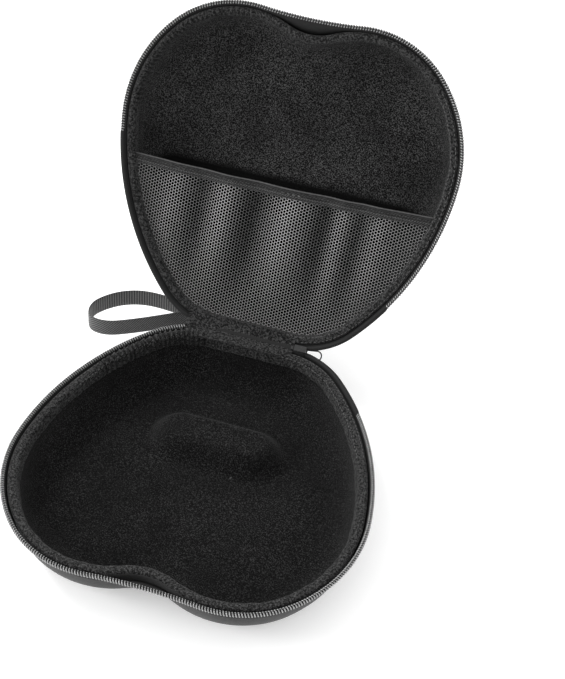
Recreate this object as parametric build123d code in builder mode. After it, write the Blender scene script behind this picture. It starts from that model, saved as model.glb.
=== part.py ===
"""Hard-shell headphone carrying case, open: two domed half shells joined by a fabric hinge and a zip.

Millimetres, +Z up. The origin is on the floor, in the middle of the flat underside of the base. +X runs
along the hinge, +Y points from the nose of the case to the hinge.
Each half shell is built in its own frame: origin in the middle of the hinge line, x along the hinge,
y from the hinge to the nose, z ("depth") away from the mid-plane, through the shell to its outer face.
"""

import math
import os

from build123d import *

os.makedirs("parts", exist_ok=True)

# ---------------------------------------------------------------- driving dimensions
hinge_y = 100.8
half_depth = 36.0
opening_angle = 115.7

# Outline of the zip, from the middle of the hinge to the notch in the nose: a straight, then tangent arcs.
rear_flat = 25.0
rear_radius = 49.0
rear_turn = 48.0
side_radius = 171.0
side_turn = 38.5
shoulder_radius = 83.0
shoulder_turn = 47.5
lobe_radius = 62.0
zip_notch_turn = 6.0
shell_notch_turn = 24.0

# Half shell: outer fabric, foam and lining, moulded together. The base is moulded in thicker foam.
cover_thickness = 0.8
base_foam_thickness = 3.8
lid_foam_thickness = 1.7
lining_thickness = 0.8
shell_inset = 2.5
rim_depth = 3.3
wall_draft = 10.0
floor_radius = 26.0

# Bump moulded into the floor of the base, hollow underneath.
bump_y = 32.0
bump_length = 84.0
bump_width = 39.0
bump_height = 12.0
bump_slope = 6.5
bump_top_radius = 9.0

# Binding tape folded over the rim.
binding_top = 2.3
binding_width = 7.0
binding_leg = 5.2

# Zip: coil on the outer edge of a woven tape that is sewn to the outside of the shell.
half_gap = 0.15
coil_outer = -1.6
coil_inner = 1.2
coil_height = 2.9
tape_thickness = 0.6
tape_top = 0.8
tape_bottom = 10.0
zip_left_end = 42.0
zip_right_end = 47.0
tape_left_end = 36.0
stop_length = 2.4

# Fabric hinge: one strip outside and one tape inside, each shown as the two parts sewn to the halves.
strip_half_width = 26.0
strip_thickness = 0.9
strip_inset = shell_inset - strip_thickness
strip_bottom = 14.0
strip_end_gap = 0.4
hinge_tape_start = 2.7
hinge_tape_reach = 9.0

# Slider, parked at the right end of the hinge, half way between the halves.
slider_start = 28.5
slider_length = 8.0
plate_out = 3.6
plate_thickness = 1.0
plate_half_height = 3.2
inner_plate_half_height = 1.9
bail_x = 33.2
bail_y = 5.7
bail_width = 1.8
pull_wire = 0.9
pull_length = 12.5
pull_half_width = 3.7
pull_root_half_width = 1.8
inner_plate_y = -3.0
inner_plate_thickness = 0.8
nose_length = 3.0
nose_thickness = 1.4
lip_thickness = 0.6
lip_height = 0.9

# Net pocket in the lid, from the hinge side to a straight hem.
net_depth = 5.6
net_thickness = 0.6
hem_y = 101.0
hem_width = 6.0
hem_thickness = 1.8
elastic_width = 4.0
elastic_thickness = 0.7
cutter_width = 260.0

# Carry loop of flat webbing, sewn to the rear wall of the base.
webbing_width = 12.5
webbing_thickness = 1.2
loop_bottom = 19.6
anchor_half_length = 8.0
anchor_face = 101.7
anchor_depth = 12.0
anchor_margin = 3.0
strand_gap = 0.1

# ---------------------------------------------------------------- frames
half_open = math.radians(opening_angle / 2)
fully_open = math.radians(opening_angle)
hinge_centre = (0, hinge_y, half_depth)
base_frame = Plane(origin=hinge_centre, x_dir=(1, 0, 0), z_dir=(0, 0, -1))
lid_frame = Plane(
    origin=hinge_centre,
    x_dir=(-1, 0, 0),
    z_dir=(0, math.sin(fully_open), math.cos(fully_open)),
)
# Mid-plane of the zip: x along the hinge, y out behind the case, z towards the lid.
zip_frame = Plane(
    origin=hinge_centre,
    x_dir=(1, 0, 0),
    z_dir=(0, math.sin(half_open), math.cos(half_open)),
)


# ---------------------------------------------------------------- shared shapes
def save(solid, name):
    """Labels a finished piece and writes it as its own file."""
    solid.label = name
    export_step(solid, f"parts/{name}.step")


def outline(plane, inset, notch_turn):
    """Filled outline of the case on a plane, drawn in from the zip line by inset."""
    with BuildSketch(plane) as profile:
        with BuildLine():
            rear = Line((0, inset), (rear_flat, inset))
            corner = JernArc(rear @ 1, rear % 1, rear_radius - inset, rear_turn)
            side = JernArc(corner @ 1, corner % 1, side_radius - inset, side_turn)
            shoulder = JernArc(side @ 1, side % 1, shoulder_radius - inset, shoulder_turn)
            lobe_turn = 180 + notch_turn - rear_turn - side_turn - shoulder_turn
            lobe = JernArc(shoulder @ 1, shoulder % 1, lobe_radius - inset, lobe_turn)
            notch_radius = (lobe @ 1).X / math.sin(math.radians(notch_turn))
            JernArc(lobe @ 1, lobe % 1, notch_radius, -notch_turn)
            mirror(about=Plane.YZ)
        make_face()
    return profile.sketch


def drafted_inset(inset, depth):
    """Inset of a shell wall at a depth, where it has the given inset at the rim."""
    return inset + (depth - rim_depth) * math.tan(math.radians(wall_draft))


def dish(frame, thickness):
    """Solid bowl as large as the shell's outer face drawn in by a thickness."""
    inset = shell_inset + thickness
    depth = half_depth - thickness
    with BuildPart() as bowl:
        add(outline(frame.offset(rim_depth), inset, shell_notch_turn))
        add(outline(frame.offset(depth), drafted_inset(inset, depth), shell_notch_turn))
        loft(ruled=True)
        floor = bowl.faces().sort_by(Axis(frame.origin, frame.z_dir))[-1]
        fillet(floor.edges(), floor_radius - thickness)
    return bowl.part


def bump(thickness, full_thickness):
    """Solid long dome on the floor of the base at a thickness from the underside."""
    shrink = 2 * (full_thickness - thickness)
    length = bump_length - shrink
    width = bump_width - shrink
    with BuildPart() as dome:
        with BuildSketch(Plane.XY.offset(thickness)):
            with Locations((0, bump_y)):
                SlotOverall(length, width)
        with BuildSketch(Plane.XY.offset(thickness + bump_height)):
            with Locations((0, bump_y)):
                SlotOverall(length - 2 * bump_slope, width - 2 * bump_slope)
        loft(ruled=True)
        top = dome.faces().sort_by(Axis.Z)[-1]
        fillet(top.edges(), bump_top_radius - shrink / 2)
    return dome.part


def base_bowl(thickness, full_thickness):
    """Bowl of the base with the bump taken out of its floor."""
    with BuildPart() as bowl:
        add(dish(base_frame, thickness))
        add(bump(thickness, full_thickness), mode=Mode.SUBTRACT)
    return bowl.part


def column(frame, inset, notch_turn, top, bottom):
    """Straight block inside an outline, between two depths."""
    with BuildPart() as block:
        add(outline(frame.offset(top), inset, notch_turn))
        extrude(amount=bottom - top, dir=frame.z_dir)
    return block.part


def flare(frame, top, bottom):
    """Block between two outlines, each given as depth, inset and notch turn."""
    with BuildPart() as block:
        for depth, inset, notch_turn in (top, bottom):
            add(outline(frame.offset(depth), inset, notch_turn))
        loft(ruled=True)
    return block.part


def hinge_window(frame, low_x, high_x):
    """Block over the hinge, between two places along +X, that the zip stops short of."""
    reach = 25.0
    middle = (low_x + high_x) / 2 * frame.x_dir.X
    with BuildPart() as block:
        with BuildSketch(frame.offset(-1)):
            with Locations((middle, 0)):
                Rectangle(high_x - low_x, 2 * reach)
        extrude(amount=tape_bottom + 2)
    return block.part


# ---------------------------------------------------------------- the two half shells
for half, frame, foam_thickness in (
    ("base", base_frame, base_foam_thickness),
    ("lid", lid_frame, lid_foam_thickness),
):
    foam_face = cover_thickness
    lining_face = foam_face + foam_thickness
    shell_thickness = lining_face + lining_thickness
    faces = (0, foam_face, lining_face, shell_thickness)
    if half == "base":
        bowls = [base_bowl(face, shell_thickness) for face in faces]
    else:
        bowls = [dish(frame, face) for face in faces]

    # Outer fabric.
    with BuildPart() as cover:
        add(bowls[0])
        add(bowls[1], mode=Mode.SUBTRACT)
    save(cover.part, f"{half}_cover")

    # Moulded foam between the two fabrics.
    with BuildPart() as foam:
        add(bowls[1])
        add(bowls[2], mode=Mode.SUBTRACT)
    save(foam.part, f"{half}_foam")

    # Fleece lining.
    with BuildPart() as lining:
        add(bowls[2])
        add(bowls[3], mode=Mode.SUBTRACT)
    save(lining.part, f"{half}_lining")

    # Binding tape: flat over the rim, with a leg down the inside of the wall.
    leg_bottom = rim_depth + binding_leg
    leg_inset = shell_inset + shell_thickness
    leg_foot = (leg_bottom, drafted_inset(leg_inset, leg_bottom), shell_notch_turn)
    with BuildPart() as binding:
        add(column(frame, shell_inset, shell_notch_turn, binding_top, rim_depth))
        add(flare(frame, (rim_depth, leg_inset, shell_notch_turn), leg_foot))
        add(
            column(frame, shell_inset + binding_width, shell_notch_turn, binding_top - 1, leg_bottom + 1),
            mode=Mode.SUBTRACT,
        )
    save(binding.part, f"{half}_binding")

    # Woven zip tape: from the coil down the outside of the shell.
    foot_inset = drafted_inset(shell_inset, tape_bottom) - 0.02
    foot_outer = (tape_bottom, foot_inset - tape_thickness, shell_notch_turn)
    foot_inner = (tape_bottom, foot_inset, shell_notch_turn)
    with BuildPart() as zip_tape:
        add(flare(frame, (tape_top, coil_inner, zip_notch_turn), foot_outer))
        add(flare(frame, (tape_top, coil_inner + tape_thickness, zip_notch_turn), foot_inner), mode=Mode.SUBTRACT)
        add(column(frame, shell_inset, shell_notch_turn, binding_top, rim_depth), mode=Mode.SUBTRACT)
        add(bowls[0], mode=Mode.SUBTRACT)
        add(hinge_window(frame, -tape_left_end, zip_right_end), mode=Mode.SUBTRACT)
    save(zip_tape.part, f"{half}_zip_tape")

    # Zip coil, which meets the other half's coil at the mid-plane when the case is shut.
    coil_bottom = half_gap + coil_height
    with BuildPart() as zip_coil:
        add(column(frame, coil_outer, zip_notch_turn, half_gap, coil_bottom))
        add(column(frame, coil_inner, zip_notch_turn, half_gap - 1, coil_bottom + 1), mode=Mode.SUBTRACT)
        add(hinge_window(frame, -zip_left_end, zip_right_end), mode=Mode.SUBTRACT)
    save(zip_coil.part, f"{half}_zip_coil")

    # Metal stop crimped on the left end of the coil.
    stop_turn = math.degrees(math.asin((zip_left_end - stop_length / 2 - 0.3 - rear_flat) / rear_radius))
    stop_side = -frame.x_dir.X
    with BuildPart() as zip_stop:
        with BuildSketch(frame.offset(half_gap + 0.1)):
            with Locations((stop_side * rear_flat, rear_radius)):
                with PolarLocations(rear_radius, 1, start_angle=-90 + stop_side * stop_turn):
                    RectangleRounded(coil_inner - coil_outer - 0.4, stop_length, 0.5)
        extrude(amount=coil_height - 0.2)
    save(zip_stop.part, f"{half}_zip_stop")

    # Hinge fabric: a strip outside the rear wall, up to the hinge line.
    strip_foot = (strip_bottom, drafted_inset(strip_inset, strip_bottom), shell_notch_turn)
    with BuildPart() as strip:
        add(column(frame, strip_inset, shell_notch_turn, strip_end_gap, rim_depth))
        add(flare(frame, (rim_depth, strip_inset, shell_notch_turn), strip_foot))
        add(column(frame, shell_inset, shell_notch_turn, 0, rim_depth), mode=Mode.SUBTRACT)
        add(bowls[0], mode=Mode.SUBTRACT)
        with BuildSketch(frame):
            Rectangle(2 * strip_half_width, 2 * (strip_inset + 3))
        extrude(amount=strip_bottom, mode=Mode.INTERSECT)
    save(strip.part, f"hinge_strip_{half}")

    # Hinge fabric: a tape inside, over the binding.
    with BuildPart() as hinge_tape:
        with BuildSketch(frame.offset(binding_top - strip_thickness)):
            with Locations((0, (hinge_tape_start + hinge_tape_reach) / 2)):
                RectangleRounded(2 * strip_half_width, hinge_tape_reach - hinge_tape_start, 1.5)
        extrude(amount=strip_thickness)
    save(hinge_tape.part, f"hinge_tape_{half}")


# ---------------------------------------------------------------- net pocket in the lid
net_inset = shell_inset + binding_width + 0.05
hem_low = hem_y - hem_width
elastic_top = net_depth + (net_thickness - elastic_thickness) / 2

# Net, sewn to the inside of the binding all round and to the hem along its top.
with BuildPart() as net:
    add(column(lid_frame, net_inset, shell_notch_turn, net_depth, net_depth + net_thickness))
    with BuildSketch(lid_frame.offset(net_depth - 1)):
        with Locations((0, hem_low / 2)):
            Rectangle(cutter_width, hem_low)
    extrude(amount=net_thickness + 2, mode=Mode.INTERSECT)
save(net.part, "pocket_net")

# Hem: a folded woven band with an elastic inside.
hem_top = net_depth + (net_thickness - hem_thickness) / 2
hem_middle = hem_low + hem_width / 2
with BuildPart() as hem:
    add(column(lid_frame, net_inset, shell_notch_turn, hem_top, hem_top + hem_thickness))
    with BuildSketch(lid_frame.offset(hem_top - 1)):
        with Locations((0, hem_middle)):
            Rectangle(cutter_width, hem_width)
    extrude(amount=hem_thickness + 2, mode=Mode.INTERSECT)
    with BuildSketch(lid_frame.offset(elastic_top)):
        with Locations((0, hem_middle)):
            Rectangle(cutter_width, elastic_width)
    extrude(amount=elastic_thickness, mode=Mode.SUBTRACT)
save(hem.part, "pocket_hem")

# Elastic inside the hem.
with BuildPart() as elastic:
    add(column(lid_frame, net_inset, shell_notch_turn, elastic_top, elastic_top + elastic_thickness))
    with BuildSketch(lid_frame.offset(elastic_top - 1)):
        with Locations((0, hem_middle)):
            Rectangle(cutter_width, elastic_width)
    extrude(amount=elastic_thickness + 2, mode=Mode.INTERSECT)
save(elastic.part, "pocket_elastic")


# ---------------------------------------------------------------- zip slider and its pull
slider_middle = slider_start + slider_length / 2
outer_face = plate_out + plate_thickness

# Stop that joins the two ends of the zip on the hinge line.
with BuildPart() as bottom_stop:
    with BuildSketch(zip_frame.offset(-1)):
        with Locations((strip_half_width + 1.2, 0)):
            RectangleRounded(2.0, 2.4, 0.5)
    extrude(amount=2)
save(bottom_stop.part, "zip_bottom_stop")

# Slider body: outer plate with turned-in edges, inner plate and the wedge that joins them.
with BuildPart() as slider:
    with BuildSketch(zip_frame.offset(-plate_half_height)):
        with Locations((slider_middle, plate_out + plate_thickness / 2)):
            RectangleRounded(slider_length, plate_thickness, 0.45)
    extrude(amount=2 * plate_half_height)
    for side in (-1, 1):
        lip_middle = side * (plate_half_height - lip_thickness / 2)
        with BuildSketch(zip_frame.offset(lip_middle - lip_thickness / 2)):
            with Locations((slider_middle, plate_out + 0.15, 0)):
                Rectangle(slider_length - 2, lip_height, align=(Align.CENTER, Align.MAX))
        extrude(amount=lip_thickness)
    with BuildSketch(zip_frame.offset(-inner_plate_half_height)):
        with Locations((slider_middle, inner_plate_y)):
            RectangleRounded(slider_length, inner_plate_thickness, 0.35)
    extrude(amount=2 * inner_plate_half_height)
    with BuildSketch(zip_frame.offset(-nose_thickness / 2)):
        with Locations((slider_start + slider_length - nose_length / 2 - 0.5, (plate_out + inner_plate_y) / 2)):
            RectangleRounded(nose_length, plate_out - inner_plate_y + 0.4, 0.6)
    extrude(amount=nose_thickness)
save(slider.part, "zip_slider")

# Bail on the outer plate that holds the pull.
with BuildPart() as bail:
    with BuildSketch(zip_frame.offset(-bail_width / 2)):
        with Locations((bail_x, outer_face + 1.3)):
            SlotCenterToCenter(2.0, 2.6)
        with Locations((bail_x, outer_face + 0.25)):
            Rectangle(4.6, 0.5)
        with Locations((bail_x, bail_y)):
            Circle(pull_wire / 2 + 0.08, mode=Mode.SUBTRACT)
        with Locations((bail_x, outer_face - 1)):
            Rectangle(10, 2, mode=Mode.SUBTRACT)
    extrude(amount=bail_width)
save(bail.part, "slider_bail")

# Pull: a loop of wire, wider at its far end.
pull_end = bail_x + pull_length
wire_plane = Plane(
    origin=zip_frame.from_local_coords((0, bail_y, 0)),
    x_dir=zip_frame.x_dir,
    z_dir=-zip_frame.y_dir,
)
with BuildPart() as pull:
    with BuildLine(wire_plane) as pull_path:
        FilletPolyline(
            (bail_x, pull_root_half_width),
            (pull_end, pull_half_width),
            (pull_end, -pull_half_width),
            (bail_x, -pull_root_half_width),
            radius=(0.6, 3.0, 3.0, 0.6),
            close=True,
        )
    with BuildSketch(Plane(origin=pull_path.line @ 0, z_dir=pull_path.line % 0)):
        Circle(pull_wire / 2)
    sweep()
save(pull.part, "zip_pull")


# ---------------------------------------------------------------- carry loop
# Folded end of the webbing, sewn flat to the hinge strip.
wall_ends = [
    (depth, drafted_inset(strip_inset, depth), shell_notch_turn)
    for depth in (rim_depth - anchor_margin, half_depth - loop_bottom + anchor_margin)
]
with BuildPart() as anchor:
    with BuildSketch(Plane.XY.offset(loop_bottom)):
        with Locations((0, anchor_face + webbing_thickness)):
            Rectangle(2 * anchor_half_length, anchor_depth, align=(Align.CENTER, Align.MAX))
    extrude(amount=webbing_width)
    add(flare(base_frame, *wall_ends), mode=Mode.SUBTRACT)
save(anchor.part, "carry_loop_anchor")

# The loop itself, standing on edge.
loop_root = -anchor_half_length - 1.2
strand_near = anchor_face - webbing_thickness / 2
strand_far = strand_near + webbing_thickness + strand_gap
with BuildPart() as loop:
    with BuildLine(Plane.XY.offset(loop_bottom + webbing_width / 2)) as loop_path:
        FilletPolyline(
            (loop_root, strand_near),
            (-19, strand_near),
            (-32, 115.5),
            (-47, 114.5),
            (-92, 86.5),
            (-111, 93),
            (-103, 112),
            (-82, 125),
            (-52, 122.5),
            (-31, 117.5),
            (-18, strand_far),
            (loop_root, strand_far),
            radius=(9, 9, 25, 9, 9, 14, 14, 40, 10, 8),
        )
    with BuildSketch(Plane(origin=loop_path.line @ 0, x_dir=(0, 0, 1), z_dir=loop_path.line % 0)):
        Rectangle(webbing_width, webbing_thickness)
    sweep()
save(loop.part, "carry_loop")
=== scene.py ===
"""Looks of the open headphone carrying case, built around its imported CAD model.

Shapes are worked out in millimetres and written in metres. Each half shell has its own frame, as in the
CAD: x along the hinge, v from the hinge line to the nose, h from the mid-plane into the shell.
"""

import math

import bmesh
import bpy
import numpy as np
from mathutils import Matrix, Vector


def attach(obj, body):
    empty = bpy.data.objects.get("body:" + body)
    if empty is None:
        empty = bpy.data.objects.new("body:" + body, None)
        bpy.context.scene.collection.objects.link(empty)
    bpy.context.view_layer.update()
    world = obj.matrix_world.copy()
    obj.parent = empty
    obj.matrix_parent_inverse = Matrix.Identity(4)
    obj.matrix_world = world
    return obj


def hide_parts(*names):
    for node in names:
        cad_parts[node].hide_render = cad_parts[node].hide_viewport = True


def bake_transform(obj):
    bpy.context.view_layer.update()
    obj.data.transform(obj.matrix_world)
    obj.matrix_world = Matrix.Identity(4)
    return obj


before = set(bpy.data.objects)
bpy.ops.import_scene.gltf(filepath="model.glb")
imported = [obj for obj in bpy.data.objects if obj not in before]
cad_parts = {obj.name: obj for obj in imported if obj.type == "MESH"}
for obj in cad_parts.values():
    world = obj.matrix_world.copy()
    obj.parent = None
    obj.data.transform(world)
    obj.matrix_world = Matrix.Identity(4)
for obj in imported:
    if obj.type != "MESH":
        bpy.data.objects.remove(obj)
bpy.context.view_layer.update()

# ---------------------------------------------------------------- sizes of the case, in mm
HINGE_Y, HALF_DEPTH, OPEN_TURN = 100.8, 36.0, math.radians(115.7)
REAR_FLAT, REAR_RADIUS, REAR_TURN = 25.0, 49.0, 48.0
SIDE_RADIUS, SIDE_TURN = 171.0, 38.5
SHOULDER_RADIUS, SHOULDER_TURN = 83.0, 47.5
LOBE_RADIUS = 62.0
ZIP_NOTCH, SHELL_NOTCH = 6.0, 24.0
SHELL_INSET, RIM_DEPTH, DRAFT, FLOOR_RADIUS = 2.5, 3.3, math.radians(10), 26.0
COVER, FOAM, LINING = 0.8, {"base": 3.8, "lid": 1.7}, 0.8
BUMP_V, BUMP_HALF_RUN, BUMP_RADIUS, BUMP_HEIGHT = 68.8, 22.5, 19.5, 12.0
BUMP_FLARE, BUMP_FLANK = 2.0, 13.0
HINGE_CLOTH = 0.7
STITCH_LIFT = 0.2
# Samples on half an outline: the flat at the hinge, then its five arcs.
OUTLINE_SAMPLES = (13, 20, 57, 34, 32, 14)
# How far aside the outward face of the webbing is laid out in its cloth coordinates.
FACE_SHIFT = 100
# Height over the ground, in metres, below which the lid's lining gets painted shade: it is black there,
# behind the pocket.
POCKET_SHADE = 0.112
MM = 0.001


# ---------------------------------------------------------------- geometry helpers
def place(half, x, v, h):
    """Points of a half shell's frame in the row frame, in mm."""
    x, v, h = np.broadcast_arrays(x, v, h)
    if half == "base":
        return np.stack([x, HINGE_Y - v, HALF_DEPTH - h], -1)
    back, up = -math.cos(OPEN_TURN), math.sin(OPEN_TURN)
    return np.stack([x, HINGE_Y + back * v + up * h, HALF_DEPTH + up * v - back * h], -1)


def rim_up(half):
    """Direction out of a half shell's rim, away from its floor."""
    return place(half, 0.0, 0.0, -1.0) - place(half, 0.0, 0.0, 0.0)


def outline(notch_turn, fineness=1.0):
    """Points along an outline, anticlockwise from the middle of the hinge, and their outward normals."""
    lobe_turn = 180 + notch_turn - REAR_TURN - SIDE_TURN - SHOULDER_TURN
    samples = [int(round(k * fineness)) for k in OUTLINE_SAMPLES]
    rear = np.linspace(0, REAR_FLAT, samples[0], endpoint=False)
    points = [np.stack([rear, np.zeros(samples[0])], -1)]
    headings = [np.zeros(samples[0])]
    at, heading = np.array([REAR_FLAT, 0.0]), 0.0
    arcs = (
        (REAR_RADIUS, REAR_TURN),
        (SIDE_RADIUS, SIDE_TURN),
        (SHOULDER_RADIUS, SHOULDER_TURN),
        (LOBE_RADIUS, lobe_turn),
        (None, -notch_turn),
    )
    for (radius, turn), count in zip(arcs, samples[1:]):
        if radius is None:
            radius = -at[0] / math.sin(math.radians(notch_turn))
        angles = heading + np.radians(np.linspace(0, turn, count + 1))
        side = np.stack([-np.sin(angles), np.cos(angles)], -1)
        run = at + radius * side[0] - radius * side
        points.append(run[:-1])
        headings.append(angles[:-1])
        at, heading = run[-1], angles[-1]
    points.append(at[None])
    headings.append(np.array([heading]))
    points, headings = np.concatenate(points), np.concatenate(headings)
    normals = np.stack([np.sin(headings), -np.cos(headings)], -1)
    flip = np.array([-1, 1])
    return (
        np.concatenate([points, (points * flip)[-2:0:-1]]),
        np.concatenate([normals, (normals * flip)[-2:0:-1]]),
    )


def along(points):
    """Distance along a closed row of points, with the full length at the end."""
    steps = np.linalg.norm(np.roll(points, -1, 0) - points, axis=-1)
    return np.concatenate([[0], np.cumsum(steps)])


def along_open(points):
    """Distance along an open row of points."""
    return np.concatenate([[0], np.cumsum(np.linalg.norm(np.diff(points, axis=0), axis=-1))])


def resample(track, places, closed=True):
    """Values of rows at distances along the first of them."""
    if closed:
        distance = along(track[0])
        places = np.mod(places, distance[-1])
        rows = [np.concatenate([row, row[:1]]) for row in track]
    else:
        distance, rows = along_open(track[0]), track
    return [
        np.stack([np.interp(places, distance, values) for values in row.T], -1) for row in rows
    ]


def distance_at(points, x, v):
    """Distance along a closed row of points at its place nearest to (x, v)."""
    return along(points)[np.argmin(np.hypot(points[:, 0] - x, points[:, 1] - v))]


def smooth(t):
    """Eased step from 0 to 1."""
    t = np.clip(t, 0, 1)
    return t * t * (3 - 2 * t)


def window(s, start, end, fade):
    """1 between start and end, easing to 0 outside."""
    return smooth((s - start) / fade + 1) * smooth((end - s) / fade + 1)


def ripple(s, wavelengths, seed):
    """Smooth uneven wave between about -1 and 1."""
    rng = np.random.default_rng(seed)
    total = sum(np.sin(2 * np.pi * s / w + rng.uniform(0, 6.28)) for w in wavelengths)
    return total / len(wavelengths)


def quads(rows, columns, wrap_rows, wrap_columns):
    """Faces of a grid of vertices."""
    index = np.arange(rows * columns).reshape(rows, columns)
    if wrap_rows:
        index = np.concatenate([index, index[:1]])
    if wrap_columns:
        index = np.concatenate([index, index[:, :1]], 1)
    corners = (index[:-1, :-1], index[:-1, 1:], index[1:, 1:], index[1:, :-1])
    return np.stack(corners, -1).reshape(-1, 4)


def cloth_grid(run, across):
    """Cloth coordinates of a grid of rows, from the runs of its columns and the widths of its rows."""
    return np.stack(np.meshgrid(run, across), -1)


class Build:
    """Vertices and faces of one piece, in mm, gathered from several parts."""

    def __init__(self):
        self.points, self.faces, self.uvs, self.count = [], [], [], 0

    def add(self, points, faces, uv=None):
        points = np.asarray(points, float).reshape(-1, 3)
        uv = points[:, :2] if uv is None else np.asarray(uv, float).reshape(-1, 2)
        self.points.append(points)
        self.uvs.append(uv)
        self.faces.extend((np.asarray(faces) + self.count).tolist())
        self.count += len(points)

    def grid(self, rings, uv=None, wrap_rows=False, wrap_columns=True):
        self.add(rings, quads(rings.shape[0], rings.shape[1], wrap_rows, wrap_columns), uv)

    def cap(self, ring):
        """Closes a ring with a fan."""
        n = len(ring)
        fan = [[k, (k + 1) % n, n] for k in range(n)]
        self.add(np.concatenate([ring, ring.mean(0, keepdims=True)]), fan)

    def band(self, rows, uv):
        """Closed band whose rows run along it, capped at both ends."""
        self.grid(rows, uv, wrap_rows=True, wrap_columns=False)
        self.cap(rows[:, 0])
        self.cap(rows[::-1, -1])

    def pipe(self, rings, uv=None):
        """Closed pipe whose rows are its rings, capped at both ends."""
        self.grid(rings, uv)
        self.cap(rings[0][::-1])
        self.cap(rings[-1])

    def object(self, name, material):
        mesh = bpy.data.meshes.new(name)
        points, uvs = np.concatenate(self.points), np.concatenate(self.uvs)
        mesh.from_pydata((points * MM).tolist(), [], self.faces)
        layer = mesh.uv_layers.new(name="cloth")
        corners = np.zeros(len(mesh.loops), np.int32)
        mesh.loops.foreach_get("vertex_index", corners)
        layer.data.foreach_set("uv", uvs[corners].astype(np.float32).ravel())
        mesh.materials.append(material)
        piece = bpy.data.objects.new(name, mesh)
        bpy.context.scene.collection.objects.link(piece)
        bm = bmesh.new()
        bm.from_mesh(mesh)
        bmesh.ops.remove_doubles(bm, verts=bm.verts, dist=1e-7)
        bmesh.ops.recalc_face_normals(bm, faces=bm.faces)
        bm.to_mesh(mesh)
        bm.free()
        mesh.polygons.foreach_set("use_smooth", [True] * len(mesh.polygons))
        return piece


def finish_piece(piece, body, slot, *nodes):
    """Sets what a piece rides on and hides the CAD nodes it stands for; the slot is not used."""
    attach(piece, body)
    if nodes:
        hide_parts(*nodes)
    return piece


def unit(vectors):
    """Vectors at length 1."""
    return vectors / np.linalg.norm(vectors, axis=-1, keepdims=True)


def inside_line(half, at, normal, inset, depth):
    """Places at insets and depths inside a half shell's outline."""
    return place(half, at[:, 0] - inset * normal[:, 0], at[:, 1] - inset * normal[:, 1], depth)


def frames(path, up):
    """Side and upward directions along a path."""
    tangent = unit(np.gradient(path, axis=0))
    side = unit(np.cross(tangent, up))
    return side, np.cross(side, tangent)


def circle(side, over, count):
    """Points of unit circles, from two directions at each place."""
    angles = np.linspace(0, 2 * np.pi, count, endpoint=False)[:, None]
    return side[..., None, :] * np.cos(angles) + over[..., None, :] * np.sin(angles)


def tube(build, path, radius, sides=6):
    """Round thread along an open path."""
    # The upward direction is askew to both halves, so hardly any path runs along it.
    side, over = frames(path, np.array((0.31, 0.52, 0.79)))
    build.pipe(path[:, None] + radius * circle(side, over, sides))


def stitches(build, path, normal, length, gap, width):
    """Row of short sewn threads along a path, bedded into the surface."""
    track = [path, np.broadcast_to(normal, path.shape)]
    total = np.linalg.norm(np.diff(path, axis=0), axis=-1).sum()
    starts = np.arange(gap, total - length, length + gap)
    t = np.linspace(0, 1, 5)
    places = starts[:, None] + t[None] * length
    centre, up = resample(track, places.ravel(), closed=False)
    centre, up = centre.reshape(-1, len(t), 3), unit(up.reshape(-1, len(t), 3))
    side = np.cross(unit(centre[:, -1] - centre[:, 0]), up[:, 2])[:, None]
    swell = np.sqrt(np.clip(1 - (2 * t - 1) ** 2, 0.04, 1))
    centre = centre + up * (STITCH_LIFT * (swell - 0.4))[None, :, None]
    threads = centre[:, :, None] + 0.5 * width * swell[None, :, None, None] * circle(side, up, 6)
    for thread in threads:
        build.grid(thread)


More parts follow.
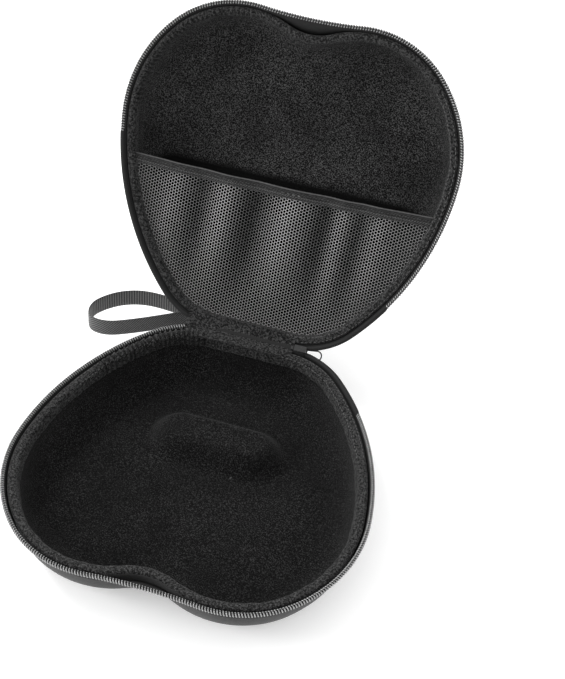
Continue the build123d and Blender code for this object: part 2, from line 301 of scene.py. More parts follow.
# ---------------------------------------------------------------- materials
class Look:
    """A node material being put together."""

    def __init__(self, name, roughness, sheen=0.0, sheen_roughness=0.5, specular=0.5):
        self.material = bpy.data.materials.new(name)
        self.material.use_nodes = True
        self.tree = self.material.node_tree
        self.shader = self.tree.nodes["Principled BSDF"]
        for socket, value in (
            ("Roughness", roughness),
            ("Sheen Weight", sheen),
            ("Sheen Roughness", sheen_roughness),
            ("Specular IOR Level", specular),
        ):
            self.shader.inputs[socket].default_value = value

    def node(self, kind, inputs=None, **settings):
        made = self.tree.nodes.new("ShaderNode" + kind)
        for key, value in settings.items():
            setattr(made, key, value)
        for key, value in (inputs or {}).items():
            self.link(value, made.inputs[key])
        return made

    def link(self, value, socket):
        if isinstance(value, bpy.types.NodeSocket):
            self.tree.links.new(value, socket)
        else:
            socket.default_value = value

    def coordinates(self):
        """Places on the piece, in metres."""
        return self.node("TexCoord").outputs["Object"]

    def cloth(self, turn=0.0):
        """The two cloth coordinates, along the piece and across it."""
        source = self.node("UVMap", uv_map="cloth").outputs[0]
        turned = self.node("Mapping", {"Vector": source, "Rotation": (0, 0, turn)}).outputs[0]
        split = self.node("SeparateXYZ", {"Vector": turned})
        return split.outputs[0], split.outputs[1]

    def noise(self, vector, scale, detail=2.0, roughness=0.5):
        settings = {"Vector": vector, "Scale": scale, "Detail": detail, "Roughness": roughness}
        return self.node("TexNoise", settings).outputs["Fac"]

    def remap(self, value, low, high, to_low=0.0, to_high=1.0):
        ends = {"From Min": low, "From Max": high, "To Min": to_low, "To Max": to_high}
        return self.node("MapRange", {"Value": value, **ends}).outputs[0]

    def math(self, operation, a, b=0.0):
        made = self.node("Math", operation=operation)
        self.link(a, made.inputs[0])
        self.link(b, made.inputs[1])
        return made.outputs[0]

    def sine(self, value, pitch):
        return self.math("SINE", self.math("MULTIPLY", value, 2 * math.pi / pitch))

    def mixed(self, a, b, share):
        """A share of one value and the rest of another."""
        rest = self.math("MULTIPLY", b, 1 - share)
        return self.math("ADD", self.math("MULTIPLY", a, share), rest)

    def colour(self, fac, low, high):
        """Sets the base colour, from one colour to another."""
        # A mix node's sockets 6 and 7 are its two colours, and its output 2 is their mix.
        made = self.node("Mix", data_type="RGBA")
        self.link(fac, made.inputs["Factor"])
        self.link((*low, 1), made.inputs[6])
        self.link((*high, 1), made.inputs[7])
        self.link(made.outputs[2], self.shader.inputs["Base Color"])
        return made.outputs[2]

    def bump(self, height, strength, distance):
        made = self.node("Bump", {"Height": height, "Strength": strength, "Distance": distance})
        self.link(made.outputs[0], self.shader.inputs["Normal"])


def grey(value):
    return (value, value, value)


def fleece(name, dark, light, threshold, shade_below=None):
    """Short-pile lining: black with fine lighter tips, and painted shade below a height, where no tips
    show.
    """
    look = Look(name, 0.95, sheen=0.05, sheen_roughness=0.4, specular=0.1)
    at = look.coordinates()
    grain = look.noise(at, 1400, 3.0, 0.7)
    tips = look.remap(grain, threshold, threshold + 0.16)
    nap = look.remap(look.noise(at, 28, 2.0), 0.35, 0.65, 0.65, 1.15)
    tips = look.math("MULTIPLY", tips, nap)
    # Painted shade: below the height, behind the pocket, the lighter tips fade out and the lining is
    # black.
    if shade_below:
        height = look.node("SeparateXYZ", {"Vector": at}).outputs[2]
        tips = look.math("MULTIPLY", tips, look.remap(height, shade_below - 0.004, shade_below))
    look.colour(tips, grey(dark), grey(light))
    look.bump(grain, 0.8, 0.0009)
    return look.material


def woven(name, low, high, pitch, turn=0.0, contrast=0.6, roughness=0.8, sheen=0.1):
    """Woven cloth: crossing rows of threads, at a pitch in mm."""
    look = Look(name, roughness, sheen=sheen, specular=0.3)
    run, across = look.cloth(turn)
    crossed = look.math("MULTIPLY", look.sine(run, pitch), look.sine(across, pitch))
    grit = look.noise(look.coordinates(), 900, 3.0, 0.6)
    weave = look.mixed(look.remap(crossed, -1, 1), grit, contrast)
    look.colour(weave, grey(low), grey(high))
    look.bump(weave, 0.7, 0.00025)
    return look.material


def knit(name, low, high):
    """Knitted binding tape: fine uneven loops with a little fluff, and painted shade in its creases.

    The second cloth coordinate says how flat the cloth is, from 0 in a crease to 1; the colour is darkened
    by it as painted shade.
    """
    look = Look(name, 0.9, sheen=0.06, sheen_roughness=0.5, specular=0.2)
    at = look.coordinates()
    cells = look.node("TexVoronoi", {"Vector": at, "Scale": 1000.0, "Randomness": 0.8})
    loops = look.remap(cells.outputs["Distance"], 0.2, 0.45, 1, 0)
    grit = look.remap(look.noise(at, 760, 4.0, 0.65), 0.48, 0.6)
    surface = look.mixed(loops, grit, 0.45)
    flatness = look.remap(look.cloth()[1], 0.1, 0.9)
    # Painted shade: the colour is darkened where the cloth is least flat, in its creases.
    look.colour(look.math("MULTIPLY", surface, flatness), grey(low), grey(high))
    look.bump(surface, 0.9, 0.0005)
    return look.material


def coarse_fabric(name, low, high):
    """Outer fabric: fine plain weave, slightly uneven."""
    look = Look(name, 0.8, sheen=0.1, sheen_roughness=0.4, specular=0.3)
    at = look.coordinates()
    grit = look.noise(at, 1100, 3.0, 0.6)
    broad = look.noise(at, 30, 2.0)
    tone = look.mixed(look.remap(grit, 0.3, 0.7), look.remap(broad, 0.35, 0.65), 0.7)
    look.colour(tone, grey(low), grey(high))
    look.bump(grit, 0.4, 0.0003)
    return look.material


def gloss(name, low, high, roughness, specular=0.5):
    """Smooth hard finish with faint unevenness."""
    look = Look(name, roughness, specular=specular)
    grit = look.noise(look.coordinates(), 700)
    look.colour(look.remap(grit, 0.35, 0.65), grey(low), grey(high))
    uneven = look.remap(grit, 0.3, 0.7, roughness - 0.05, roughness + 0.08)
    look.link(uneven, look.shader.inputs["Roughness"])
    look.bump(grit, 0.1, 0.0001)
    return look.material


def ribbed_webbing(name, low, high):
    """Webbing with ribs across one face and a fine twill on the other."""
    look = Look(name, 0.6, sheen=0.1, specular=0.3)
    run, across = look.cloth()
    ribs = look.sine(run, 1.7)
    twill = look.sine(look.math("ADD", run, across), 1.9)
    side = look.math("GREATER_THAN", across, FACE_SHIFT / 2)
    weave = look.node("Mix", {"Factor": side, "A": ribs, "B": twill}).outputs[0]
    grit = look.noise(look.coordinates(), 1300, 3.0, 0.6)
    thread = look.remap(weave, -0.4, 0.6, 0, 0.8)
    tone = look.math("ADD", thread, look.remap(grit, 0.35, 0.65, 0, 0.2))
    look.colour(tone, grey(low), grey(high))
    look.bump(tone, 0.8, 0.0003)
    return look.material


def folded_net(name, low, high):
    """Net thread: painted highlight on the crests of its folds and painted shade in their hollows.

    The second cloth coordinate is the height of the fold, in mm.
    """
    look = Look(name, 0.4, sheen=0.05, specular=0.3)
    grit = look.remap(look.noise(look.coordinates(), 900, 3.0, 0.6), 0.35, 0.65, -0.15, 0.15)
    # Painted light: the colour runs from dark in the fold's hollows to light on its crests.
    fold = look.remap(look.cloth()[1], -3.4, 3.4)
    look.colour(look.math("ADD", fold, grit), grey(low), grey(high))
    look.bump(grit, 0.3, 0.0002)
    return look.material


def sewn_band(name, low, high):
    """Pocket band: painted highlight on the fold on top, painted shade in its grooves, and short bars
    along its lower strip.
    """
    look = Look(name, 0.6, sheen=0.03, specular=0.2)
    run, across = look.cloth()
    bars = look.sine(look.math("ADD", run, across), 1.8)
    lower = look.remap(across, 3.6, 4.2)
    upper = look.remap(lower, 0, 1, 1.0, 0.0)
    barred = look.math("MULTIPLY", look.remap(bars, -0.5, 0.7, 0.0, 0.6), lower)
    # Painted light and shade: the upper part is lighter on its ridges and darker in the grooves between
    # them.
    grooves = look.sine(look.math("ADD", across, -0.5), 1.9)
    plain = look.math("MULTIPLY", look.remap(grooves, -0.6, 0.4, 0.05, 0.9), upper)
    grit = look.remap(look.noise(look.coordinates(), 700, 3.0, 0.6), 0.35, 0.65, -0.2, 0.2)
    tone = look.math("ADD", look.math("ADD", barred, plain), grit)
    look.colour(tone, grey(low), grey(high))
    look.bump(tone, 0.6, 0.0002)
    return look.material


LOOKS = {
    "outer_fabric": coarse_fabric("outer_fabric", 0.02, 0.05),
    "lid_fleece": fleece("lining_fleece_lid", 0.001, 0.082, 0.47, shade_below=POCKET_SHADE),
    "base_fleece": fleece("lining_fleece_base", 0.001, 0.036, 0.5),
    "binding": knit("binding_tape", 0.0005, 0.07),
    "zip_tape": woven("zip_tape", 0.003, 0.012, 0.9, turn=0.8, sheen=0.0),
    # Painted highlight: the coil is black nylon, but its colour is a light grey so that its turns read as
    # bright dots.
    "coil": gloss("zip_coil", 0.18, 0.32, 0.16, specular=1.0),
    "net": folded_net("net", 0.1, 0.5),
    "band": sewn_band("pocket_band", 0.001, 0.07),
    "webbing": ribbed_webbing("webbing", 0.001, 0.12),
    "thread": woven("stitching", 0.04, 0.13, 0.4, contrast=0.4, roughness=0.5),
    "metal": gloss("zip_metal", 0.006, 0.012, 0.22),
    "wire": gloss("pull_wire", 0.005, 0.01, 0.3, specular=0.4),
    "foam": coarse_fabric("foam", 0.02, 0.03),
}


# ---------------------------------------------------------------- the two half shells
WALL_STEPS, BEND_STEPS = 8, 12


def wall_profile(thickness):
    """Inset and depth down a shell wall and round into its floor, at a thickness inside the outer face."""
    radius = FLOOR_RADIUS - thickness
    inset = SHELL_INSET + thickness
    centre_depth = HALF_DEPTH - thickness - radius
    bend_depth = centre_depth + radius * math.sin(DRAFT)
    depths = np.linspace(RIM_DEPTH, bend_depth, WALL_STEPS)
    insets = inset + (depths - RIM_DEPTH) * math.tan(DRAFT)
    centre_inset = insets[-1] + radius * math.cos(DRAFT)
    angles = np.linspace(DRAFT, math.pi / 2, BEND_STEPS + 1)[1:]
    bend = np.stack([centre_inset - radius * np.cos(angles), centre_depth + radius * np.sin(angles)], -1)
    return np.concatenate([np.stack([insets, depths], -1), bend])


def bump_lift(x, v, spread=0.0):
    """Height of the moulded bump at a place on the floor of the base."""
    run = np.hypot(np.clip(np.abs(x) - BUMP_HALF_RUN, 0, None), v - BUMP_V)
    return BUMP_HEIGHT * smooth((BUMP_RADIUS + BUMP_FLARE + spread - run) / BUMP_FLANK)


def bowl(half, thickness, fineness, floor_rings, spread=0.0, wobble=0.0):
    """Rings of a bowl, from its rim to the middle of its floor."""
    points, normals = outline(SHELL_NOTCH, fineness)
    rings = []
    for inset, depth in wall_profile(thickness):
        at = points - inset * normals
        rings.append(np.column_stack([at, np.full(len(at), depth)]))
    edge, centre = rings[-1], np.array([0, BUMP_V, HALF_DEPTH - thickness])
    for share in 1 - np.linspace(0, 1, floor_rings + 1)[1:] ** 0.9:
        rings.append(centre + (edge - centre) * share)
    rings = np.array(rings)
    x, v, h = rings[..., 0], rings[..., 1], rings[..., 2].copy()
    if half == "base":
        h -= bump_lift(x, v, spread)
    if wobble:
        deep = smooth((h - 10) / 12)
        waves = ripple(x + 0.4 * v, (61, 37, 23), 5) + ripple(v - 0.3 * x, (53, 31, 19), 8)
        h = h - wobble * deep * waves
    return place(half, x, v, h)


def shell_layer(half, outer, inner, name, look, slot, node, fineness=1.0, floor_rings=14, wobble=0.0):
    """One closed layer of a half shell, between two thicknesses."""
    full = COVER + FOAM[half] + LINING
    outside = bowl(half, outer, fineness, floor_rings, spread=outer - full)
    inside = bowl(half, inner, fineness, floor_rings, spread=inner - full, wobble=wobble)
    build = Build()
    build.grid(np.concatenate([outside, inside[::-1]]), wrap_rows=True)
    return finish_piece(build.object(f"{half}_{name}", LOOKS[look]), half, slot, f"{half}_{node}")


for half in ("base", "lid"):
    foam_face, lining_face = COVER, COVER + FOAM[half]
    shell_layer(half, 0, foam_face, "outer_fabric", "outer_fabric", "outer_fabric", "cover")
    foam = shell_layer(half, foam_face, lining_face, "foam_core", "foam", "foam", "foam")
    names = ("fleece", f"{half}_fleece", "lining_fleece", "lining")
    fine = {"fineness": 1.5, "floor_rings": 34, "wobble": 0.22}
    shell_layer(half, lining_face, lining_face + LINING, *names, **fine)


# ---------------------------------------------------------------- binding round each rim
# For each half: how far the band reaches in, how far its lower edge tucks under, the height of its
# gathers, the run of their slant, and the seed of its unevenness.
BINDING = {"base": (8.6, 0.75, 2.1, 4.6, 11), "lid": (7.7, 0.25, 1.1, 3.6, 12)}
# Rows of its section: the first that lies against the wall, and the two that carry stitches.
BACK_ROW, SEWN_ROWS = 14, (4, 7)


def binding(half):
    """Soft band folded over the rim and down the inside of the wall."""
    points, normals = outline(SHELL_NOTCH, 5.0)
    total = along(points)[-1]
    s = np.arange(0, total, 0.7)
    at, normal = resample([points, normals], s)
    normal = unit(normal)
    wall = SHELL_INSET + COVER + FOAM[half] + LINING
    lean = math.tan(DRAFT)
    reach, tuck, gather_height, slant_run, seed = BINDING[half]
    # Inset and depth, from the rim over the band's face and back up along the wall.
    section = np.array(
        [
            (2.7, 3.2), (2.5, 2.7), (2.9, 2.1), (3.4, 1.75), (3.9, 1.6), (reach - 2.6, 1.6),
            (reach - 1.6, 1.85), (reach - 0.8, 2.5), (reach - 0.25, 3.4), (reach, 4.6),
            (reach + 0.45 * tuck, 6.0), (reach + 0.85 * tuck, 7.4), (reach + tuck, 8.3),
            (reach + tuck - 0.25, 8.75), (wall + 5 * lean, 8.3), (wall + 2.2 * lean, 5.5), (wall, 3.35),
        ]
    )  # fmt: skip
    shown = smooth((section[:, 0] - 2.6) / 1.5) * smooth((9.3 - section[:, 1]) / 2)
    inner = smooth((section[:, 0] - reach + 2.6) / 2.0)
    shown[BACK_ROW:] = inner[BACK_ROW:] = 0
    # The band is gathered round the base's rear left corner, and at the left of the lid's nose.
    if half == "base":
        left = distance_at(points, -26, 1)
        gather = window(s, left - 78, left - 6, 14)
        crest = np.abs(np.sin(np.pi * s / 3.9 + 0.9 * ripple(s, (37, 23), 3))) ** 1.8
    else:
        first, last = distance_at(points, -38, 182), distance_at(points, -92, 132)
        gather = window(s, first, last, 12)
        crest = 0.5 + 0.5 * np.sin(2 * np.pi * s / 3.2)
    slack = 0.22 * ripple(s, (71, 43, 29, 17), seed)
    puff = gather_height * (gather * crest)[None] * shown[:, None]
    depth = section[:, 1:] - puff - slack[None] * shown[:, None]
    slant = 1.2 * gather * np.sin(2 * np.pi * s / slant_run)
    waver = 0.35 * ripple(s, (33, 19, 9), 21)[None] + 0.35 * slant[None]
    rings = inside_line(half, at, normal, section[:, :1] + inner[:, None] * waver, depth)
    # The second cloth coordinate is 1 on flat cloth and 0 in the creases between gathers, where the
    # binding's material paints shade.
    creased = np.ones(len(section)) if half == "base" else inner
    flatness = 1 - creased[:, None] * (gather * (1 - crest))[None]
    build = Build()
    build.grid(rings, np.stack(np.broadcast_arrays(s, flatness), -1), wrap_rows=True)
    band = build.object(f"{half}_binding_tape", LOOKS["binding"])
    finish_piece(band, half, "binding_tape", f"{half}_binding")
    # Two rows of stitches along the part of the band where they show, which passes the hinge.
    first, last = {"base": ((-98, 70), (98, 70)), "lid": ((-40, 5), (70, 165))}[half]
    sewn = window(s, distance_at(points, *first), total, 1) + window(s, 0, distance_at(points, *last), 1)
    start = int(np.argmax(np.roll(sewn, len(s) // 2) > 0.5)) - len(s) // 2
    count = int((sewn > 0.5).sum())
    sewing = Build()
    for row in SEWN_ROWS:
        path = np.roll(rings[row], -start, axis=0)[:count]
        stitches(sewing, path, rim_up(half), 1.7, 1.0, 0.4)
    finish_piece(sewing.object(f"{half}_binding_stitches", LOOKS["thread"]), half, "binding_tape")


for half in ("base", "lid"):
    binding(half)


# ---------------------------------------------------------------- zip: tape, coil and folds
# The tape's thickness, the inset of its free edge, and the depths of that edge and of its sewn foot.
TAPE_CLOTH, TAPE_INSET, TAPE_TOP, TAPE_FOOT = 0.55, 0.2, 1.5, 10.0
COIL_PITCH, COIL_DEPTH, COIL_OFFSET = 1.62, 1.6, 0.2
zip_line, zip_normal = outline(ZIP_NOTCH, 6.0)
shell_line, shell_normal = outline(SHELL_NOTCH, 20.0)


def open_range(points, start, end, step):
    """Distances along a closed row, from one (x, v) place anticlockwise to another."""
    first, last = distance_at(points, *start), distance_at(points, *end)
    if last <= first:
        last += along(points)[-1]
    return np.arange(first, last, step)


def zip_parts(half):
    """Tape, coil and sewing of one half of the zip."""
    s = open_range(zip_line, (30.0, 0.3), (-36.5, 1.3), 1.0)
    at, normal = resample([zip_line, zip_normal], s)
    nearest = np.linalg.norm(at[:, None] - shell_line[None], axis=-1).argmin(1)
    foot, foot_normal = shell_line[nearest], shell_normal[nearest]
    foot_inset = SHELL_INSET + (TAPE_FOOT - RIM_DEPTH) * math.tan(DRAFT)
    hang = {"base": 1.1, "lid": 2.4}[half]
    # Outer face from inside the coil to the sewn foot, then back up the inner face.
    steps = np.linspace(0, 1, 9)
    rows = []
    for thick, order in ((0.0, steps), (TAPE_CLOTH, steps[::-1])):
        for t in order:
            inset = (1 - t) * (TAPE_INSET + thick) + t * (foot_inset - TAPE_CLOTH + thick)
            depth = TAPE_TOP + (TAPE_FOOT - TAPE_TOP) * t**hang
            top, low = at - inset * normal, foot - inset * foot_normal
            rows.append(np.column_stack([(1 - t) * top + t * low, np.full(len(s), depth)]))
    rows = np.array(rows)
    build = Build()
    tape = place(half, rows[..., 0], rows[..., 1], rows[..., 2])
    build.band(tape, cloth_grid(s, np.linspace(0, 20, len(rows))))
    # Where the tape is folded over the coil, as a smooth piping.
    folds = [((28.5, 0.2), (79.5, 41.0))]
    if half == "lid":
        folds.append(((-101.2, 114.0), (-38.0, 1.8)))
    for start, end in folds:
        s = open_range(zip_line, start, end, 1.2)
        at, normal = resample([zip_line, zip_normal], s)
        angles = np.linspace(0, 2 * np.pi, 14, endpoint=False)
        # The piping rounds off at its far end and thins out towards the hinge.
        ends = np.sqrt(np.clip(1 - np.clip(1 - (s[-1] - s) / 3.0, 0, 1) ** 2, 0.3, 1))
        ends *= 0.45 + 0.55 * smooth((np.abs(at[:, 0]) - 29) / 11) * smooth((s - s[0]) / 4)
        inset = 1.55 * ends[None] * np.cos(angles)[:, None]
        depth = 1.75 + 1.6 * ends[None] * np.sin(angles)[:, None]
        build.band(inside_line(half, at, normal, inset, depth), cloth_grid(s, angles))
    tape = build.object(f"{half}_tape_of_zip", LOOKS["zip_tape"])
    finish_piece(tape, half, "zip_tape", f"{half}_zip_tape")

    # Nylon coil: one wire wound in flattened turns.
    end = (-101.5, 110.0) if half == "lid" else (-41.8, 2.9)
    s = open_range(zip_line, (79.0, 40.0), end, COIL_PITCH / 12)
    at, normal = resample([zip_line, zip_normal], s)
    turn = 2 * np.pi * s / COIL_PITCH
    wide, high = (np.sign(wave) * np.abs(wave) ** 0.75 for wave in (np.cos(turn), np.sin(turn)))
    depth = COIL_DEPTH + 1.05 * high
    coil = Build()
    tube(coil, inside_line(half, at, normal, -COIL_OFFSET + 0.92 * wide, depth), 0.4)
    wire = coil.object(f"{half}_coil_wire", LOOKS["coil"])
    finish_piece(wire, half, "zip_coil", f"{half}_zip_coil")
    # Cord inside the coil and the sewing that holds it to the tape.
    sewing = Build()
    s = np.arange(s[0], s[-1], 0.8)
    at, normal = resample([zip_line, zip_normal], s)
    core = inside_line(half, at, normal, -COIL_OFFSET, COIL_DEPTH)
    tube(sewing, core, 0.8, sides=8)
    tube(sewing, core + 1.2 * rim_up(half), 0.24)
    finish_piece(sewing.object(f"{half}_coil_sewing", LOOKS["zip_tape"]), half, "zip_tape")


for half in ("base", "lid"):
    zip_parts(half)


# ---------------------------------------------------------------- fabric hinge
def hinge_band(name, look, node_pair, x_low, x_high, profile):
    """Band across the hinge: the profile is rows of (v, h), from its middle outward on either half."""
    x = np.linspace(x_low, x_high, 60)
    # The band follows the outline, which bends away from the hinge line, and narrows at its ends.
    drift = REAR_RADIUS - np.sqrt(REAR_RADIUS**2 - np.clip(np.abs(x) - REAR_FLAT, 0, None) ** 2)
    middle, half_run = (x_low + x_high) / 2, (x_high - x_low) / 2
    taper = 1 - 0.6 * smooth((np.abs(x - middle) - half_run + 12) / 12) ** 1.5
    route = [("base", *row) for row in profile["base"][::-1]] + [("lid", *row) for row in profile["lid"]]
    centre = np.array([place(half, 0.0, 1 + (v - 1) * taper + drift, h) for half, v, h in route])
    fine = np.linspace(0, len(centre) - 1, 8 * (len(centre) - 1) + 1)
    low = np.minimum(fine.astype(int), len(centre) - 2)
    part = (fine - low)[:, None, None]
    sheet_line = centre[low] * (1 - part) + centre[low + 1] * part
    for _ in range(10):
        sheet_line[1:-1] = 0.25 * sheet_line[:-2] + 0.5 * sheet_line[1:-1] + 0.25 * sheet_line[2:]
    hinge_axis = np.array([1.0, 0, 0])
    out = np.cross(hinge_axis, unit(np.gradient(sheet_line, axis=0)))
    crease = ripple(x, (23, 13, 7), 4)[:, None]
    across = sheet_line + hinge_axis * x[:, None]
    faces = [across + out * (side * HINGE_CLOTH / 2 + 0.15 * crease) for side in (1, -1)]
    rows = np.concatenate([faces[0], faces[1][::-1]])
    build = Build()
    build.band(rows, cloth_grid(x, np.arange(len(rows)) * 0.9))
    piece = build.object(name, LOOKS[look])
    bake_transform(piece)
    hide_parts(*node_pair)


INNER_TAPE = {
    "base": [(1.0, 0.4), (4.0, 1.0), (9.2, 1.5)],
    "lid": [(1.0, 0.4), (4.0, 1.0), (8.2, 1.5)],
}
OUTER_STRIP = dict.fromkeys(("base", "lid"), [(1.7, 0.6), (2.0, 3.0), (3.9, 14.0)])
tape_nodes = ("hinge_tape_base", "hinge_tape_lid")
strip_nodes = ("hinge_strip_base", "hinge_strip_lid")
hinge_band("hinge_inner_tape", "binding", tape_nodes, -43.0, 27.8, INNER_TAPE)
hinge_band("hinge_outer_strip", "zip_tape", strip_nodes, -26.0, 35.5, OUTER_STRIP)


# ---------------------------------------------------------------- net pocket
NET_INSET, NET_DEPTH, NET_HALF_THICK = SHELL_INSET + 4.4, 5.9, 0.22
HEM_LOW, HEM_SEWN_ROWS = 95.0, (9, 11)
HOLE_COLUMN, HOLE_ROW = 1.7, 2.02
# Width of a hole as a share of its cell's on a flat net, and what each mm of fold takes off it.
HOLE_SHARE, HOLE_LOSS = 0.88, 0.012
net_line, net_normal = outline(SHELL_NOTCH, 4.0)
net_edge = net_line - NET_INSET * net_normal
net_side = net_edge[(net_edge[:, 0] > 0) & (net_edge[:, 1] < 140)]
net_side = net_side[np.argsort(net_side[:, 1])]


def edge_width(v):
    """Half width of the pocket at a distance from the hinge."""
    return np.interp(v, net_side[:, 1], net_side[:, 0])


def billow(x, v):
    """How far the gathered net stands off its plane."""
    rise = smooth((v - 8) / 60) * (1 - 0.5 * smooth((v - 84) / 14))
    # Each fold: its place across the pocket, its half width and its height.
    folds = (
        (-66, 8, 1.8), (-49, 6, -1.8), (-33, 8, 2.8), (-15.5, 8, -2.8), (8, 10, 3.0),
        (30, 7, -2.6), (41, 6, 2.2), (52, 5, -1.8), (65, 7, 1.8),
    )  # fmt: skip
    lean = 0.06 * (v - 90)
    total = sum(a * np.exp(-(((x - c - lean) / w) ** 2)) for c, w, a in folds)
    room = smooth((edge_width(np.clip(v, 2, 99)) - np.abs(x)) / 14)
    return total * rise * room


def net():
    """Hexagonal mesh: threads with a ridged inner edge round each hole."""
    points, faces, seen = [], [], {}

    def vertex(x, v, lift):
        key = (round(x, 3), round(v, 3), lift)
        if key not in seen:
            seen[key] = len(points)
            points.append((x, v, lift))
        return seen[key]

    corner = [math.radians(60 * k) for k in range(6)]
    reach = HOLE_ROW / math.sqrt(3)
    stretch = HOLE_COLUMN / (1.5 * reach)
    for i in range(-60, 61):
        for j in range(0, 52):
            cx, cv = i * HOLE_COLUMN, j * HOLE_ROW + (HOLE_ROW / 2 if i % 2 else 0)
            if not NET_INSET - 1 <= cv <= HEM_LOW + 1 or abs(cx) > edge_width(cv) + 0.6:
                continue
            # The holes are wider in the hollows of the folds than on their crests.
            share = HOLE_SHARE - HOLE_LOSS * float(billow(cx, cv))
            outer, hole = (
                [(cx + k * reach * stretch * math.cos(a), cv + k * reach * math.sin(a)) for a in corner]
                for k in (1, share)
            )
            front = [vertex(x, v, -1) for x, v in outer]
            back = [vertex(x, v, 1) for x, v in outer]
            ring = [vertex(x, v, 0) for x, v in hole]
            for k in range(6):
                n = (k + 1) % 6
                faces.append((front[k], front[n], ring[n], ring[k]))
                faces.append((ring[k], ring[n], back[n], back[k]))
    x, v, lift = np.array(points).T
    fold = billow(x, v)
    build = Build()
    h = NET_DEPTH + NET_HALF_THICK * lift - fold
    # The second cloth coordinate holds the fold's height, from which the net's material paints light on
    # crests and shade in hollows.
    build.add(place("lid", x, v, h), faces, np.stack([x, fold], -1))
    return finish_piece(build.object("pocket_mesh", LOOKS["net"]), "lid", "net", "pocket_net")


pocket = net()


def hem():
    """Folded band along the top of the pocket, with its sewn grooves."""
    half_width = float(edge_width(98.0))
    x = np.linspace(-half_width - 0.4, half_width + 0.4, 150)
    # The band hangs lower at its left end and in its middle.
    sag = 1.6 - 1.0 * x / half_width + 1.7 * (1 - (x / half_width) ** 2)
    section = np.array(
        [
            (101.6, 5.6), (101.4, 4.7), (100.8, 4.2), (100.1, 4.25), (99.7, 5.4), (99.3, 4.7),
            (98.6, 4.6), (98.2, 5.6), (97.8, 4.85), (97.2, 4.7), (96.2, 4.8), (95.4, 5.0),
            (95.0, 5.5), (95.2, 6.3), (98.0, 6.6), (100.6, 6.5),
        ]
    )  # fmt: skip
    wave = 0.45 * billow(x, 88.0)
    rows = np.array([place("lid", x, v - sag, h - wave) for v, h in section])
    build = Build()
    build.band(rows, cloth_grid(x, along_open(section)))
    piece = build.object("pocket_band", LOOKS["band"])
    finish_piece(piece, "lid", "pocket_band", "pocket_hem", "pocket_elastic")
    sewing = Build()
    for row in HEM_SEWN_ROWS:
        stitches(sewing, rows[row], rim_up("lid"), 1.1, 0.6, 0.35)
    finish_piece(sewing.object("pocket_band_stitches", LOOKS["thread"]), "lid", "pocket_band")
    return piece


band = hem()


# ---------------------------------------------------------------- carry loop
LOOP_HEIGHT = 25.85


def carry_loop():
    """Flat webbing on edge, along a smooth route in plan that starts and ends at its anchor."""
    line = bpy.data.curves.new("loop_route", "CURVE")
    line.dimensions = "3D"
    line.resolution_u = 16
    route = [
        (-8.6, 101.1), (-19, 101.1), (-31, 113.5), (-46, 115.2), (-62, 104.6), (-77, 95), (-93, 86.5),
        (-106, 88.3), (-108.3, 100), (-102, 110), (-92, 118.5), (-78, 123.5), (-58, 122.6), (-42, 119.5),
        (-29, 115.2), (-18.5, 102.4), (-8.6, 102.4),
    ]  # fmt: skip
    spline = line.splines.new("NURBS")
    spline.points.add(len(route) - 1)
    for point, (x, y) in zip(spline.points, route):
        point.co = (x, y, LOOP_HEIGHT, 1)
    spline.order_u = 3
    spline.use_endpoint_u = True
    holder = bpy.data.objects.new("loop_route", line)
    path = np.array([v.co for v in bpy.data.meshes.new_from_object(holder).vertices])
    bpy.data.objects.remove(holder)
    side, over = frames(path, np.array([0, 0, 1.0]))
    half_width, half_thick = 6.2, 0.55
    t = np.linspace(-1, 1, 16)
    face = np.stack([t * half_width, half_thick * (1 - 0.5 * np.abs(t) ** 6)], -1)
    section = np.concatenate([face, face[::-1] * (1, -1)])
    rings = path[:, None] + over[:, None] * section[None, :, :1] + side[:, None] * section[None, :, 1:]
    s = along_open(path)
    # The face that looks out of the loop has its own weave, so its cloth is laid out to the side.
    across = section[:, 0] + np.where(section[:, 1] > 0, 0, FACE_SHIFT)
    build = Build()
    build.pipe(rings, np.stack(np.meshgrid(s, across, indexing="ij"), -1))
    piece = build.object("carry_webbing", LOOKS["webbing"])
    finish_piece(piece, "loop", "webbing", "carry_loop")


carry_loop()


# ---------------------------------------------------------------- CAD nodes that stay
for look, nodes in (
    ("metal", ("zip_slider", "slider_bail", "zip_bottom_stop", "base_zip_stop", "lid_zip_stop")),
    ("wire", ("zip_pull",)),
    ("webbing", ("carry_loop_anchor",)),
):
    for node in nodes:
        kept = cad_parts[node]
        kept.data.materials.clear()
        kept.data.materials.append(LOOKS[look])


# ---------------------------------------------------------------- floor, light and camera
FLOOR_REACH, FLOOR_LEVEL = 4000, -0.4


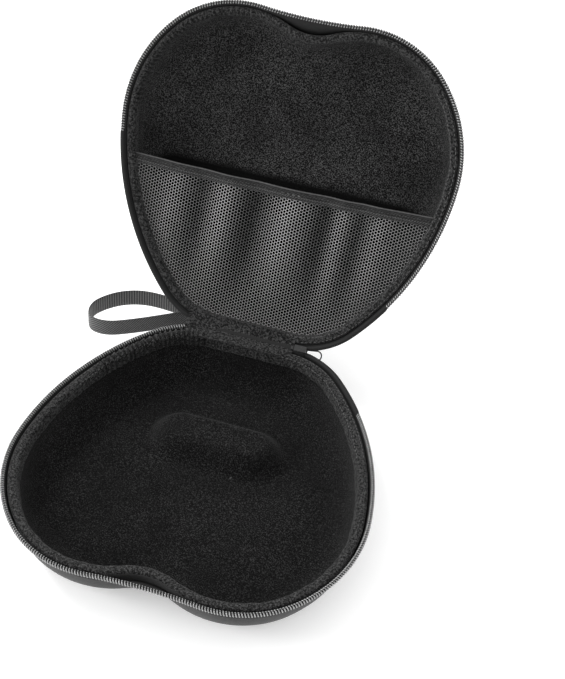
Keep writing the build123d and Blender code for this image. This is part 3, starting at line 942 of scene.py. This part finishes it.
def floor():
    """Pale ground with a weak glow, which keeps it near white."""
    build = Build()
    ticks = np.linspace(-1, 1, 25) ** 3 * FLOOR_REACH
    x, y = np.meshgrid(ticks, ticks)
    build.grid(np.stack([x, y, np.full_like(x, FLOOR_LEVEL)], -1), wrap_columns=False)
    look = Look("studio_floor", 0.6, specular=0.2)
    tone = look.colour(look.noise(look.coordinates(), 3, 2.0), grey(0.88), grey(0.92))
    look.link(tone, look.shader.inputs["Emission Color"])
    look.shader.inputs["Emission Strength"].default_value = 0.3
    build.object("studio_floor", look.material)


floor()

world = bpy.data.worlds.new("studio")
bpy.context.scene.world = world
world.use_nodes = True
sky = world.node_tree.nodes["Background"].inputs
sky["Color"].default_value = (1, 1, 1, 1)
sky["Strength"].default_value = 1.15

LIGHT_AIM = (0, 0.06, 0.06)


def area_light(name, place_at, size, power):
    """Round soft light, aimed at the case."""
    data = bpy.data.lights.new(name, "AREA")
    data.shape, data.size, data.energy = "DISK", size, power
    lamp = bpy.data.objects.new(name, data)
    lamp.location = place_at
    lamp.rotation_euler = (Vector(LIGHT_AIM) - Vector(place_at)).to_track_quat("-Z", "Y").to_euler()
    bpy.context.scene.collection.objects.link(lamp)


area_light("key", (-1.2, 0.5, 1.5), 0.9, 26)
area_light("left", (-1.5, -0.55, 0.75), 0.7, 12)

bpy.context.scene.view_settings.view_transform = "Standard"

CAMERA_PLACE, CAMERA_LENS = (0.1419, -0.4835, 0.6185), 69.96
# Turn about the vertical, rise over the ground, and roll about the view.
turn, rise, roll = (math.radians(v) for v in (11.76, 44.05, 5.86))
right = Vector((math.cos(turn), math.sin(turn), 0))
back = Vector((math.sin(turn) * math.cos(rise), -math.cos(turn) * math.cos(rise), math.sin(rise)))
up = back.cross(right)
right, up = math.cos(roll) * right + math.sin(roll) * up, math.cos(roll) * up - math.sin(roll) * right
camera = bpy.data.objects.new("camera", bpy.data.cameras.new("camera"))
camera.data.lens = CAMERA_LENS
view_axes = Matrix((right, up, back)).transposed().to_4x4()
camera.matrix_world = Matrix.Translation(CAMERA_PLACE) @ view_axes
bpy.context.scene.collection.objects.link(camera)
bpy.context.scene.camera = camera
